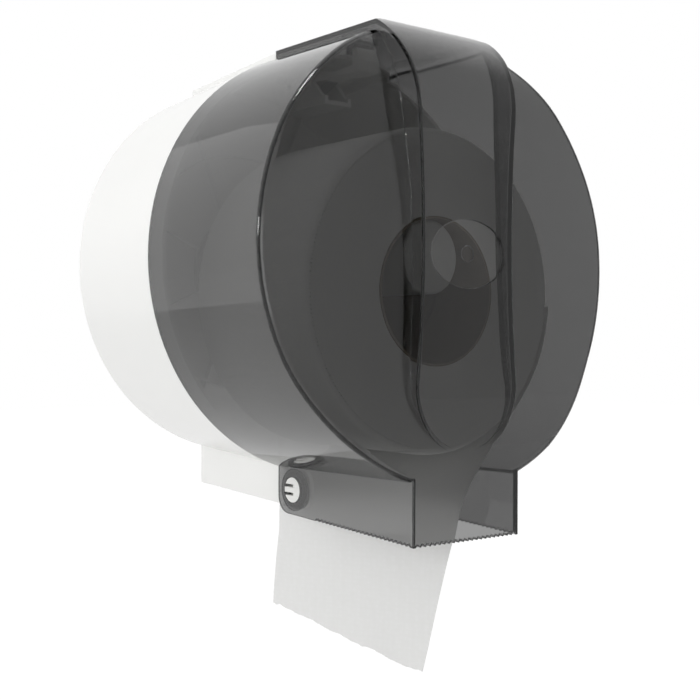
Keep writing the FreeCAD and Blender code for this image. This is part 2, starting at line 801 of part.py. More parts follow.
def make_latch_bracket():
    """Cradle under the top wall: wings for two screws, cheeks and a spring seat."""
    back_depth = latch_pivot_depth - bracket_tail
    half = bracket_half_width
    low = bracket_floor_height - bracket_skin
    top = bracket_seat_height
    body = block(-half, half, -bracket_front_depth, -back_depth, low, top)
    inner = half - bracket_cheek
    body = body.cut(block(
        -inner, inner, -bracket_front_depth - overrun, -back_depth - bracket_skin,
        bracket_floor_height, top + overrun,
    ))
    wing_half = half + bracket_wing
    middle = latch_pivot_depth
    wings = block(
        -wing_half, wing_half, -middle - bracket_wing_length / 2, -middle + bracket_wing_length / 2,
        top - bracket_skin, top,
    )
    wings = wings.cut(block(-inner, inner, -span, 0, low, top + overrun))
    body = body.fuse(wings)
    # The cheeks fall away towards the front
    fall = [
        (latch_pivot_depth + bracket_tail, top + overrun, 0),
        (span, top + overrun, 0),
        (span, bracket_floor_height + bracket_skin, 0),
        (bracket_front_depth - bracket_skin, bracket_floor_height + bracket_skin, 0),
    ]
    body = body.cut(side_prism(fall, half + overrun))
    pivot = [Vector(side * span, -latch_pivot_depth, latch_pivot_height) for side in (-1, 1)]
    body = body.cut(rod(latch_pivot_radius + running_gap, pivot[0], pivot[1]))
    for point in latch_screw_points():
        body = body.cut(rod(screw_radius + running_gap, point - Z_AXIS * overrun, point + Z_AXIS * overrun))
    seat = Vector(0, -leaf_stud_depth, bracket_floor_height - bracket_skin / 2)
    stud = rod(leaf_stud_radius, seat, seat + Z_AXIS * bracket_skin)
    return body.fuse(stud)


def make_latch_lever():
    """Lever with a hub on its pivot and a hooked nose under the key slot."""
    half = latch_half_width
    low = latch_pivot_height - latch_arm_thickness / 2
    high = latch_pivot_height + latch_arm_thickness / 2
    nose_end = latch_nose_depth + latch_nose_length
    outline = [
        (latch_pivot_depth, low, 0),
        (nose_end, low, latch_arm_thickness / 3),
        (nose_end, high + latch_arm_thickness / 2, 0),
        (latch_nose_depth + latch_arm_thickness, latch_nose_height, 0),
        (latch_nose_depth, latch_nose_height, 0),
        (latch_nose_depth, high, 0),
        (latch_pivot_depth, high, 0),
    ]
    lever = side_prism(outline, half)
    hub = [Vector(side * half, -latch_pivot_depth, latch_pivot_height) for side in (-1, 1)]
    lever = lever.fuse(rod(latch_hub_radius, hub[0], hub[1]))
    hole = [Vector(side * span, -latch_pivot_depth, latch_pivot_height) for side in (-1, 1)]
    lever = lever.cut(rod(latch_pivot_radius + running_gap, hole[0], hole[1]))
    return lever.removeSplitter()


def make_latch_pin():
    """Steel pin that the lever turns on."""
    ends = [Vector(side * bracket_half_width, -latch_pivot_depth, latch_pivot_height) for side in (-1, 1)]
    return rod(latch_pivot_radius, ends[0], ends[1])


def make_latch_spring():
    """Steel strip folded back on itself, between the bracket floor and the lever."""
    low = bracket_floor_height + leaf_gap
    high = latch_pivot_height - latch_arm_thickness / 2 - leaf_gap
    turn = math.atan2(high - low, leaf_tip_depth - leaf_corner_depth)
    drop = leaf_skin / math.cos(turn)
    inner_corner = leaf_corner_depth + (leaf_skin + drop) / math.tan(turn)
    outline = [
        (leaf_tip_depth, low, 0),
        (leaf_corner_depth, low, leaf_fold_radius),
        (leaf_tip_depth, high, 0),
        (leaf_tip_depth, high - drop, 0),
        (inner_corner, low + leaf_skin, leaf_fold_radius - leaf_skin),
        (leaf_tip_depth, low + leaf_skin, 0),
    ]
    strip = side_prism(outline, leaf_half_width)
    middle = Vector(0, -leaf_stud_depth, low - overrun)
    hole = rod(leaf_stud_radius + running_gap, middle, middle + Z_AXIS * (overrun + 2 * leaf_skin))
    return strip.cut(hole)


def make_latch_screws():
    """Two screws up through the bracket's wings."""
    screws = []
    for point in latch_screw_points():
        seat = point - Z_AXIS * running_gap
        screws.append(screw(seat, Z_AXIS, screw_end_height - point.z - screw_head_height / 2))
    return Part.makeCompound(screws)


def save(name, shape):
    """Write one sub-part."""
    shape.exportStep(os.path.join("parts", name + ".step"))
    print(name, len(shape.Solids), round(shape.Volume), shape.isValid())


os.makedirs("parts", exist_ok=True)
save("rear_housing", make_housing())
save("cover_shell", make_cover())
save("hinge_pin_left", make_hinge_pin(-1))
save("hinge_pin_right", make_hinge_pin(1))
save("spindle_bracket", make_spindle_bracket())
save("spindle_screws", make_spindle_screws())
save("spindle_sleeve", make_sleeve())
save("spindle_cap", make_cap())
save("roll_core", make_core())
save("paper_roll", make_roll())
save("paper_tail", make_tail())
save("latch_bracket", make_latch_bracket())
save("latch_lever", make_latch_lever())
save("latch_pin", make_latch_pin())
save("latch_spring", make_latch_spring())
save("latch_screws", make_latch_screws())
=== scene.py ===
"""Looks of a wall-mounted dispenser for one jumbo toilet roll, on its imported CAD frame.

Lengths are metres and the frame is the CAD's: the wall is the plane Y = 0, the object
stands out along -Y, +Z is up, and the origin is on the wall at the axis of the drum.
"""

import logging
import math
from dataclasses import dataclass
from enum import Enum
from typing import Callable, Iterable

import bmesh
import bpy
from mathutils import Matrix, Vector, noise

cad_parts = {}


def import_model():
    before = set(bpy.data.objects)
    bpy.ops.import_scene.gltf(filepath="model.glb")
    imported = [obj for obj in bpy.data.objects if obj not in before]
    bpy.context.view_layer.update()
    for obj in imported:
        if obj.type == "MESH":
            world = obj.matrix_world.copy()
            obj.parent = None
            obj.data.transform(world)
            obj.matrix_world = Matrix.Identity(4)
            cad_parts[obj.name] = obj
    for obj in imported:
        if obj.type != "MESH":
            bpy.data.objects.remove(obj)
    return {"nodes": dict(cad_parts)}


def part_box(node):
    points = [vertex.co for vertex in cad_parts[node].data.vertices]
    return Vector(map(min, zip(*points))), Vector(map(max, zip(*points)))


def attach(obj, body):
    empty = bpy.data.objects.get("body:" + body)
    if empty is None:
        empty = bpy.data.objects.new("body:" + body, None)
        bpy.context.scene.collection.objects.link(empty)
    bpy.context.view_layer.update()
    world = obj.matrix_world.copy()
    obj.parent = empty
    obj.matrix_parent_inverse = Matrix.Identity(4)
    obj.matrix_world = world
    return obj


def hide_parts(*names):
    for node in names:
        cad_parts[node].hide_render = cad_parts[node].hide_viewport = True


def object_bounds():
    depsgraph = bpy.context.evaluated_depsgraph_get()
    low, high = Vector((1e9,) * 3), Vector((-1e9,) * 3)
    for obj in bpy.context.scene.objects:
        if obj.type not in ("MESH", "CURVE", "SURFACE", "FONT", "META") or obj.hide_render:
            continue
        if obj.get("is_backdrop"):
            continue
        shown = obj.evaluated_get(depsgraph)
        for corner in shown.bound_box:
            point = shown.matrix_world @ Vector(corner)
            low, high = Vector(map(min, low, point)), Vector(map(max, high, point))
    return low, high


LOG = logging.getLogger("dispenser")
MM = 0.001

Colour = tuple[float, float, float, float]
Place = tuple[float, float, float]
Nodes = dict[str, bpy.types.Object]
PairTest = Callable[[Vector, Vector], bool]

WHITE: Colour = (1.0, 1.0, 1.0, 1.0)


# Helpers


def srgb(code: str) -> Colour:
    """Turn an sRGB hex colour into a linear one.

    Args:
        code: Six hex digits.

    Returns:
        Linear red, green, blue and an alpha of 1.
    """
    parts = []
    for start in (0, 2, 4):
        value = int(code[start:start + 2], 16) / 255
        parts.append(value / 12.92 if value <= 0.04045 else ((value + 0.055) / 1.055) ** 2.4)
    return (parts[0], parts[1], parts[2], 1.0)


def add_node(
    tree: bpy.types.NodeTree,
    kind: str,
    settings: dict[str | int, object] | None = None,
    links: dict[str | int, bpy.types.NodeSocket] | None = None,
) -> bpy.types.Node:
    """Add a node with its settings and its links.

    Args:
        tree: The node tree.
        kind: The node's type name.
        settings: Values by the name of a property, or by the name or number of an input.
        links: Output sockets by the name or number of the input they feed.

    Returns:
        The new node.
    """
    node = tree.nodes.new(kind)
    for name, value in (settings or {}).items():
        if isinstance(name, str) and hasattr(node, name):
            setattr(node, name, value)
        else:
            node.inputs[name].default_value = value
    for name, socket in (links or {}).items():
        tree.links.new(socket, node.inputs[name])
    return node


def object_place(tree: bpy.types.NodeTree) -> bpy.types.NodeSocket:
    """Add object coordinates, which are metres in the CAD's frame.

    Args:
        tree: The node tree.

    Returns:
        The coordinates.
    """
    coordinates = add_node(tree, "ShaderNodeTexCoord")
    return coordinates.outputs["Object"]


def add_noise(
    tree: bpy.types.NodeTree,
    place: bpy.types.NodeSocket,
    size_mm: float,
    detail: float,
    roughness: float = 0.5,
) -> bpy.types.NodeSocket:
    """Add a noise whose features have a real size.

    Args:
        tree: The node tree.
        place: Where the noise is read, in metres.
        size_mm: Size of its largest features.
        detail: How many finer layers it has.
        roughness: How strong the finer layers are.

    Returns:
        The noise, from 0 to 1.
    """
    settings = {"Scale": 1 / (size_mm * MM), "Detail": detail, "Roughness": roughness}
    return add_node(tree, "ShaderNodeTexNoise", settings, {"Vector": place}).outputs["Fac"]


def add_bump(
    tree: bpy.types.NodeTree,
    height: bpy.types.NodeSocket,
    depth_mm: float,
    strength: float = 1.0,
    below: bpy.types.NodeSocket | None = None,
) -> bpy.types.NodeSocket:
    """Add a bump of a real depth.

    Args:
        tree: The node tree.
        height: The pattern that raises the surface.
        depth_mm: Height of the pattern's full range.
        strength: Share of the bump that shows.
        below: The normal that the bump is laid over, if there is one.

    Returns:
        The normal.
    """
    links = {"Height": height}
    if below:
        links["Normal"] = below
    settings = {"Strength": strength, "Distance": depth_mm * MM}
    return add_node(tree, "ShaderNodeBump", settings, links).outputs["Normal"]


def add_gloss(
    tree: bpy.types.NodeTree,
    pattern: bpy.types.NodeSocket,
    roughness: float,
    spread: tuple[float, float],
) -> bpy.types.NodeSocket:
    """Vary a roughness with a pattern.

    Args:
        tree: The node tree.
        pattern: The pattern, from 0 to 1.
        roughness: The roughness that is varied.
        spread: Shares of the roughness where the pattern is 0 and where it is 1.

    Returns:
        The varied roughness.
    """
    settings = {"To Min": roughness * spread[0], "To Max": roughness * spread[1]}
    return add_node(tree, "ShaderNodeMapRange", settings, {"Value": pattern}).outputs["Result"]


def new_material(name: str) -> tuple[bpy.types.Material, bpy.types.NodeTree, bpy.types.Node]:
    """Start a node material.

    Args:
        name: Name of the material.

    Returns:
        The material, its empty tree and its output node.
    """
    material = bpy.data.materials.new(name)
    material.use_nodes = True
    tree = material.node_tree
    tree.nodes.clear()
    return material, tree, add_node(tree, "ShaderNodeOutputMaterial")


def deselect() -> None:
    """Deselect every object, before an operator adds one."""
    for other in bpy.context.selected_objects:
        other.select_set(False)


def take(name: str) -> bpy.types.Object:
    """Name the object that an operator has just added.

    Args:
        name: The object's name.

    Returns:
        The object.
    """
    piece = bpy.context.active_object
    piece.name = name
    piece.data.name = name
    return piece


def select_faces(piece: bpy.types.Object, test: PairTest) -> None:
    """Select faces in edit mode.

    Args:
        piece: The object that is being edited.
        test: Says of a face's centre and normal whether the face is wanted.
    """
    mesh = bmesh.from_edit_mesh(piece.data)
    for face in mesh.faces:
        face.select_set(test(face.calc_center_median(), face.normal))
    bmesh.update_edit_mesh(piece.data)


def select_edges(piece: bpy.types.Object, test: PairTest) -> None:
    """Select edges in edit mode.

    Args:
        piece: The object that is being edited.
        test: Says of an edge's two ends whether the edge is wanted.
    """
    mesh = bmesh.from_edit_mesh(piece.data)
    for face in mesh.faces:
        face.select_set(False)
    for edge in mesh.edges:
        edge.select_set(test(edge.verts[0].co, edge.verts[1].co))
    bmesh.update_edit_mesh(piece.data)


def dress(piece: bpy.types.Object, material: bpy.types.Material) -> None:
    """Give a modelled piece one material all over.

    Args:
        piece: The piece.
        material: Its material.
    """
    piece.data.materials.clear()
    piece.data.materials.append(material)


# Finishes


@dataclass(frozen=True)
class MouldedPlastic:
    """Opaque moulded plastic: even colour, a soft gloss and faint sink marks."""

    name: str
    colour: str
    roughness: float
    ior: float
    gloss_spread: tuple[float, float] = (0.9, 1.15)
    sink_mm: float = 28.0
    sink_depth_mm: float = 0.05
    grain_mm: float = 0.6
    grain_depth_mm: float = 0.004

    def material(self) -> bpy.types.Material:
        """Build the material.

        Returns:
            The material.
        """
        made, tree, out = new_material(self.name)
        place = object_place(tree)
        sink = add_noise(tree, place, self.sink_mm, detail=1.0)
        grain = add_noise(tree, place, self.grain_mm, detail=2.0)
        gloss = add_gloss(tree, sink, self.roughness, self.gloss_spread)
        low = add_bump(tree, sink, self.sink_depth_mm)
        fine = add_bump(tree, grain, self.grain_depth_mm, below=low)
        shader = add_node(
            tree, "ShaderNodeBsdfPrincipled",
            {"Base Color": srgb(self.colour), "IOR": self.ior},
            {"Roughness": gloss, "Normal": fine},
        )
        tree.links.new(shader.outputs["BSDF"], out.inputs["Surface"])
        return made


@dataclass(frozen=True)
class SmokedClear:
    """Clear moulded styrene-acrylonitrile with a smoke tint that deepens with thickness."""

    name: str
    tint: str
    density: float
    roughness: float
    ior: float
    sink_mm: float = 45.0
    sink_depth_mm: float = 0.03
    edge_mm: float = 0.8

    def material(self) -> bpy.types.Material:
        """Build the material.

        Returns:
            The material.
        """
        made, tree, out = new_material(self.name)
        place = object_place(tree)
        # Softens the glint along moulded edges, as their small rounds do
        edges = add_node(tree, "ShaderNodeBevel", {"Radius": self.edge_mm * MM})
        sink = add_noise(tree, place, self.sink_mm, detail=0.0)
        bump = add_bump(tree, sink, self.sink_depth_mm, below=edges.outputs["Normal"])
        shader = add_node(
            tree, "ShaderNodeBsdfPrincipled",
            {
                "Base Color": WHITE, "Roughness": self.roughness, "IOR": self.ior,
                "Transmission Weight": 1.0,
            },
            {"Normal": bump},
        )
        smoke = add_node(
            tree, "ShaderNodeVolumeAbsorption", {"Color": srgb(self.tint), "Density": self.density}
        )
        tree.links.new(shader.outputs["BSDF"], out.inputs["Surface"])
        tree.links.new(smoke.outputs["Volume"], out.inputs["Volume"])
        return made


@dataclass(frozen=True)
class PlatedSteel:
    """Plated steel: a grey metal with a fine, even grain."""

    name: str
    colour: str
    roughness: float
    gloss_spread: tuple[float, float] = (0.7, 1.3)
    grain_mm: float = 0.4

    def material(self) -> bpy.types.Material:
        """Build the material.

        Returns:
            The material.
        """
        made, tree, out = new_material(self.name)
        place = object_place(tree)
        grain = add_noise(tree, place, self.grain_mm, detail=3.0)
        gloss = add_gloss(tree, grain, self.roughness, self.gloss_spread)
        shader = add_node(
            tree, "ShaderNodeBsdfPrincipled",
            {"Base Color": srgb(self.colour), "Metallic": 1.0},
            {"Roughness": gloss},
        )
        tree.links.new(shader.outputs["BSDF"], out.inputs["Surface"])
        return made


@dataclass(frozen=True)
class WoundBoard:
    """Spiral-wound core board: grey-brown, fibrous, with a seam that climbs round it."""

    name: str
    colour: str
    fleck: str
    axis_height: float
    roughness: float = 0.9
    fibre_mm: float = 1.6
    fibre_depth_mm: float = 0.15
    fibre_strength: float = 0.6
    seam_pitch_mm: float = 70.0
    seam_edge: float = 0.995
    seam_weight: float = 0.6

    def material(self) -> bpy.types.Material:
        """Build the material.

        Returns:
            The material.
        """
        made, tree, out = new_material(self.name)
        place = object_place(tree)
        fibre = add_noise(tree, place, self.fibre_mm, detail=6.0, roughness=0.7)
        board = add_node(
            tree, "ShaderNodeMix", {"data_type": "RGBA", 6: srgb(self.colour), 7: srgb(self.fleck)},
            {0: fibre},
        )
        tone = add_node(
            tree, "ShaderNodeMix", {"data_type": "RGBA", 7: srgb(self.fleck)},
            {0: self.seam(tree, place), 6: board.outputs[2]},
        )
        bump = add_bump(tree, fibre, self.fibre_depth_mm, self.fibre_strength)
        shader = add_node(
            tree, "ShaderNodeBsdfPrincipled", {"Roughness": self.roughness},
            {"Base Color": tone.outputs[2], "Normal": bump},
        )
        tree.links.new(shader.outputs["BSDF"], out.inputs["Surface"])
        return made

    def seam(
        self, tree: bpy.types.NodeTree, place: bpy.types.NodeSocket
    ) -> bpy.types.NodeSocket:
        """Draw the seam, one turn round the core for each pitch along it.

        Args:
            tree: The material's tree.
            place: Object coordinates.

        Returns:
            The seam's weight, 0 away from it.
        """
        centred = add_node(
            tree, "ShaderNodeMapping", {"Location": (0, 0, -self.axis_height)}, {"Vector": place}
        )
        split = add_node(tree, "ShaderNodeSeparateXYZ", None, {"Vector": centred.outputs["Vector"]})
        turn = add_node(
            tree, "ShaderNodeMath", {"operation": "ARCTAN2"},
            {0: split.outputs["Z"], 1: split.outputs["X"]},
        )
        rate = 2 * math.pi / (self.seam_pitch_mm * MM)
        climb = add_node(
            tree, "ShaderNodeMath", {"operation": "MULTIPLY", 1: rate}, {0: split.outputs["Y"]}
        )
        phase = add_node(
            tree, "ShaderNodeMath", {"operation": "ADD"},
            {0: turn.outputs["Value"], 1: climb.outputs["Value"]},
        )
        wave = add_node(
            tree, "ShaderNodeMath", {"operation": "COSINE"}, {0: phase.outputs["Value"]}
        )
        seam = add_node(
            tree, "ShaderNodeMapRange",
            {
                "From Min": self.seam_edge, "From Max": 1.0,
                "To Min": 0.0, "To Max": self.seam_weight,
            },
            {"Value": wave.outputs["Value"]},
        )
        return seam.outputs["Result"]


class Lay(Enum):
    """How a tissue lies: wound on the roll, or hanging loose."""

    WOUND = "wound"
    LOOSE = "loose"


@dataclass(frozen=True)
class Tissue:
    """Two-ply tissue: white and matt, softly embossed, with fine rings at a wound end, and painted
    shade that greys it between the embossed dots and along the rings.
    """

    name: str
    colour: str
    # Colour of the painted shade between the embossed dots and along the rings
    shade: str
    axis_height: float
    lay: Lay
    roughness: float = 0.95
    emboss_mm: float = 2.6
    emboss_scatter: float = 0.35
    emboss_depth_mm: float = 0.12
    emboss_strength: float = 0.7
    fibre_mm: float = 0.9
    fibre_depth_mm: float = 0.08
    fibre_strength: float = 0.5
    ring_mm: float = 1.4
    ring_fibre_share: float = 0.4

    def material(self) -> bpy.types.Material:
        """Build the material.

        Returns:
            The material.
        """
        made, tree, out = new_material(self.name)
        place = object_place(tree)
        dots = add_node(
            tree, "ShaderNodeTexVoronoi",
            {
                "feature": "SMOOTH_F1", "Scale": 1 / (self.emboss_mm * MM),
                "Randomness": self.emboss_scatter,
            },
            {"Vector": place},
        )
        fibre = add_noise(tree, place, self.fibre_mm, detail=5.0, roughness=0.65)
        height = dots.outputs["Distance"]
        if self.lay is Lay.WOUND:
            height = self.rings(tree, place, fibre, height)
        # Painted shade: the colour turns towards the shade colour as the relief height rises,
        # between the embossed dots and along the rings, by the same height that drives the bump
        tone = add_node(
            tree, "ShaderNodeMix", {"data_type": "RGBA", 6: srgb(self.colour), 7: srgb(self.shade)},
            {0: height},
        )
        emboss = add_bump(tree, height, self.emboss_depth_mm, self.emboss_strength)
        bump = add_bump(tree, fibre, self.fibre_depth_mm, self.fibre_strength, below=emboss)
        shader = add_node(
            tree, "ShaderNodeBsdfPrincipled", {"Roughness": self.roughness},
            {"Base Color": tone.outputs[2], "Normal": bump},
        )
        tree.links.new(shader.outputs["BSDF"], out.inputs["Surface"])
        return made

    def rings(
        self,
        tree: bpy.types.NodeTree,
        place: bpy.types.NodeSocket,
        fibre: bpy.types.NodeSocket,
        emboss: bpy.types.NodeSocket,
    ) -> bpy.types.NodeSocket:
        """Lay the rings of the windings over the ends of a roll.

        Args:
            tree: The material's tree.
            place: Object coordinates.
            fibre: The fibre noise, which makes the rings uneven.
            emboss: The height of the embossing, kept on the round side.

        Returns:
            The height over the whole roll.
        """
        centred = add_node(
            tree, "ShaderNodeMapping",
            {"Location": (0, 0, -self.axis_height), "Scale": (1, 0, 1)}, {"Vector": place},
        )
        reach = add_node(
            tree, "ShaderNodeVectorMath", {"operation": "LENGTH"}, {0: centred.outputs["Vector"]}
        )
        phase = add_node(
            tree, "ShaderNodeMath", {"operation": "MULTIPLY", 1: 1 / (self.ring_mm * MM)},
            {0: reach.outputs["Value"]},
        )
        coarse = add_node(
            tree, "ShaderNodeTexNoise", {"noise_dimensions": "1D", "Scale": 1.0, "Detail": 3.0},
            {"W": phase.outputs["Value"]},
        )
        mixed = add_node(
            tree, "ShaderNodeMix", {"data_type": "FLOAT", 0: self.ring_fibre_share},
            {2: coarse.outputs["Fac"], 3: fibre},
        )
        facing = add_node(
            tree, "ShaderNodeSeparateXYZ", None,
            {"Vector": add_node(tree, "ShaderNodeTexCoord").outputs["Normal"]},
        )
        flat = add_node(
            tree, "ShaderNodeMath", {"operation": "ABSOLUTE"}, {0: facing.outputs["Y"]}
        )
        choice = add_node(
            tree, "ShaderNodeMix", {"data_type": "FLOAT"},
            {0: flat.outputs["Value"], 2: emboss, 3: mixed.outputs[0]},
        )
        return choice.outputs[0]


Finish = MouldedPlastic | SmokedClear | PlatedSteel | WoundBoard | Tissue

# Gloss-moulded ABS: white all over, with a soft broad shine
WHITE_ABS = MouldedPlastic("white ABS, gloss moulded", "F6F6F4", 0.24, 1.53)
# Moulded acetal: a little duller and waxier than the ABS
WHITE_ACETAL = MouldedPlastic("white acetal, moulded", "F2F2EF", 0.38, 1.48, sink_mm=12.0)
# Satin-moulded ABS: an even grey with hardly any shine
GREY_ABS = MouldedPlastic("grey ABS, satin moulded", "C2C2C0", 0.5, 1.53)
# Polished clear SAN: glassy, and nearly black along its edges
SMOKED_SAN = SmokedClear("smoke-grey clear SAN, polished moulding", "0A0A0A", 460.0, 0.02, 1.57)
# Zinc plating: mid grey, half bright
ZINC_STEEL = PlatedSteel("steel, zinc plated", "B9BBBE", 0.34)
# Embossed tissue that hangs free: flatter than on the roll, and painted light, a little lighter
# than the same tissue on the roll, with fainter painted shade in its embossing
LOOSE_TISSUE_PAINTED_LIGHTER = Tissue(
    "two-ply tissue, loose", "F6F6F5", "F0F0EE", 0.0, Lay.LOOSE, emboss_depth_mm=0.07
)


# The photograph's view


@dataclass(frozen=True)
class PhotoView:
    """The camera fitted to the photograph: metres, degrees, and millimetres for the lens."""

    place: Place = (-0.4287, -0.6433, -0.0470)
    yaw: float = 38.84
    pitch: float = -0.17
    roll: float = -0.14
    lens: float = 61.81
    sensor: float = 36.0

    def aim(self) -> None:
        """Create the camera and make it the scene's."""
        deselect()
        bpy.ops.object.camera_add(
            location=self.place,
            rotation=(
                math.radians(90 + self.pitch), math.radians(self.roll), -math.radians(self.yaw)
            ),
        )
        camera = take("photo_camera")
        camera.data.lens = self.lens
        camera.data.sensor_width = self.sensor
        bpy.context.scene.camera = camera


@dataclass(frozen=True)
class SoftBox:
    """One square area lamp: where it stands, how wide it is and how strong."""

    name: str
    place: Place
    width: float
    power: float

    def hang(self, target: Vector) -> None:
        """Add the lamp and point it at a target.

        Args:
            target: The place that it is pointed at.
        """
        deselect()
        bpy.ops.object.light_add(type="AREA", location=self.place)
        lamp = take(self.name)
        lamp.data.shape = "SQUARE"
        lamp.data.size = self.width
        lamp.data.energy = self.power
        lamp.rotation_euler = (target - Vector(self.place)).to_track_quat("-Z", "Y").to_euler()


@dataclass
class Studio:
    """Pale floor, white surround and soft lamps."""

    floor_drop: float = 0.42
    floor_width: float = 12.0
    floor_colour: str = "F4F4F4"
    floor_roughness: float = 0.9
    backdrop_share: float = 0.85
    backdrop_glow: float = 1.12
    ambient: float = 0.50
    front_share: float = 0.12
    front_from: float = -0.75
    front_to: float = 0.25

    def floor(self) -> None:
        """Lay the pale floor below the object."""
        deselect()
        bpy.ops.mesh.primitive_plane_add(size=self.floor_width, location=(0, 0, -self.floor_drop))
        floor = take("studio_floor")
        bpy.ops.object.transform_apply(location=True, rotation=False, scale=False)
        made, tree, out = new_material("pale studio floor")
        matt = add_node(
            tree, "ShaderNodeBsdfPrincipled",
            {"Base Color": srgb(self.floor_colour), "Roughness": self.floor_roughness},
        )
        white = add_node(
            tree, "ShaderNodeEmission", {"Color": WHITE, "Strength": self.backdrop_glow}
        )
        place = object_place(tree)
        way = add_node(tree, "ShaderNodeVectorMath", {"operation": "NORMALIZE"}, {0: place})
        seen = add_node(
            tree, "ShaderNodeMath", {"operation": "MULTIPLY", 1: self.backdrop_share},
            {0: self.seen_white(tree, way.outputs["Vector"])},
        )
        mixed = add_node(
            tree, "ShaderNodeMixShader", None,
            {0: seen.outputs["Value"], 1: matt.outputs["BSDF"], 2: white.outputs["Emission"]},
        )
        tree.links.new(mixed.outputs["Shader"], out.inputs["Surface"])
        dress(floor, made)
        floor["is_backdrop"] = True

    def seen_white(
        self, tree: bpy.types.NodeTree, way: bpy.types.NodeSocket
    ) -> bpy.types.NodeSocket:
        """Tell how white the surround is to the ray that meets it.

        Args:
            tree: The tree of the floor or of the world.
            way: Direction from the object.

        Returns:
            1 for what is seen straight or through clear plastic, less for gloss from the front.
        """
        path = add_node(tree, "ShaderNodeLightPath")
        split = add_node(tree, "ShaderNodeSeparateXYZ", None, {"Vector": way})
        # The room behind the photographer is dimmer than the backdrop behind the object
        behind = add_node(
            tree, "ShaderNodeMapRange",
            {
                "interpolation_type": "SMOOTHSTEP",
                "From Min": self.front_from, "From Max": self.front_to,
                "To Min": self.front_share, "To Max": 1.0,
            },
            {"Value": split.outputs["Y"]},
        )
        plain = add_node(
            tree, "ShaderNodeMath", {"operation": "MAXIMUM"},
            {0: path.outputs["Is Camera Ray"], 1: path.outputs["Is Transmission Ray"]},
        )
        glossy = add_node(
            tree, "ShaderNodeMath", {"operation": "MULTIPLY"},
            {0: path.outputs["Is Glossy Ray"], 1: behind.outputs["Result"]},
        )
        white = add_node(
            tree, "ShaderNodeMath", {"operation": "MAXIMUM"},
            {0: plain.outputs["Value"], 1: glossy.outputs["Value"]},
        )
        return white.outputs["Value"]

    def surround(self) -> None:
        """Set the world: white where it is seen, and dim towards the front for gloss."""
        world = bpy.data.worlds.new("white surround")
        bpy.context.scene.world = world
        world.use_nodes = True
        tree = world.node_tree
        tree.nodes.clear()
        out = add_node(tree, "ShaderNodeOutputWorld")
        way = add_node(tree, "ShaderNodeTexCoord").outputs["Generated"]
        level = add_node(
            tree, "ShaderNodeMath", {"operation": "MAXIMUM", 1: self.ambient},
            {0: self.seen_white(tree, way)},
        )
        glow = add_node(
            tree, "ShaderNodeBackground", {"Color": WHITE}, {"Strength": level.outputs["Value"]}
        )
        tree.links.new(glow.outputs["Background"], out.inputs["Surface"])

    def build(self, lamps: Iterable[SoftBox], target: Vector) -> None:
        """Set up everything round the object.

        Args:
            lamps: The lamps.
            target: The place that they are pointed at.
        """
        self.floor()
        self.surround()
        for lamp in lamps:
            lamp.hang(target)
        bpy.context.scene.view_settings.view_transform = "Standard"


# The left and top lamps are small, so that moulded edges glint as in the photograph
LAMPS = (
    SoftBox("left_softbox", (-1.40, -0.20, 0.30), 0.22, 2.0),
    SoftBox("side_panel", (-1.30, 0.90, 0.20), 2.4, 7.0),
    SoftBox("top_softbox", (-0.40, -0.25, 1.30), 0.35, 5.0),
    SoftBox("front_fill", (-1.00, -1.50, 0.00), 1.0, 4.5),
)


# Sub-assemblies


def dress_nodes(nodes: Nodes, finishes: dict[str, Finish]) -> list[bpy.types.Object]:
    """Give CAD nodes their finishes, through their own slots.

    Args:
        nodes: The frame's nodes by name.
        finishes: The finish of each node that is dressed, by the node's name.

    Returns:
        The dressed nodes, in that order.
    """
    made: dict[Finish, bpy.types.Material] = {}
    for name, finish in finishes.items():
        if finish not in made:
            made[finish] = finish.material()
        for slot in nodes[name].material_slots:
            slot.material = made[finish]
    return [nodes[name] for name in finishes]


@dataclass
class Housing:
    """White rear housing and the two split pins that the cover swings on."""

    nodes: Nodes

    def build(self) -> list[bpy.types.Object]:
        """Dress the housing and its pins.

        Returns:
            The pieces.
        """
        return dress_nodes(self.nodes, {
            "rear_housing": WHITE_ABS,
            "hinge_pin_left": WHITE_ACETAL,
            "hinge_pin_right": WHITE_ACETAL,
        })


@dataclass
class Cover:
    """Clear smoke-grey cover, hinged at the bottom."""

    nodes: Nodes

    def build(self) -> list[bpy.types.Object]:
        """Dress the cover.

        Returns:
            The cover, alone in a list.
        """
        return dress_nodes(self.nodes, {"cover_shell": SMOKED_SAN})


@dataclass
class Spindle:
    """Fixed spindle, its turning sleeve, end cap and screws."""

    nodes: Nodes

    def build(self) -> list[bpy.types.Object]:
        """Dress the spindle's pieces.

        Returns:
            The pieces.
        """
        return dress_nodes(self.nodes, {
            "spindle_bracket": GREY_ABS,
            "spindle_sleeve": GREY_ABS,
            "spindle_cap": GREY_ABS,
            "spindle_screws": ZINC_STEEL,
        })


@dataclass
class Latch:
    """Sprung latch under the top of the housing."""

    nodes: Nodes

    def build(self) -> list[bpy.types.Object]:
        """Dress the latch's pieces.

        Returns:
            The pieces.
        """
        return dress_nodes(self.nodes, {
            "latch_bracket": WHITE_ABS,
            "latch_lever": WHITE_ACETAL,
            "latch_pin": ZINC_STEEL,
            "latch_spring": ZINC_STEEL,
            "latch_screws": ZINC_STEEL,
        })


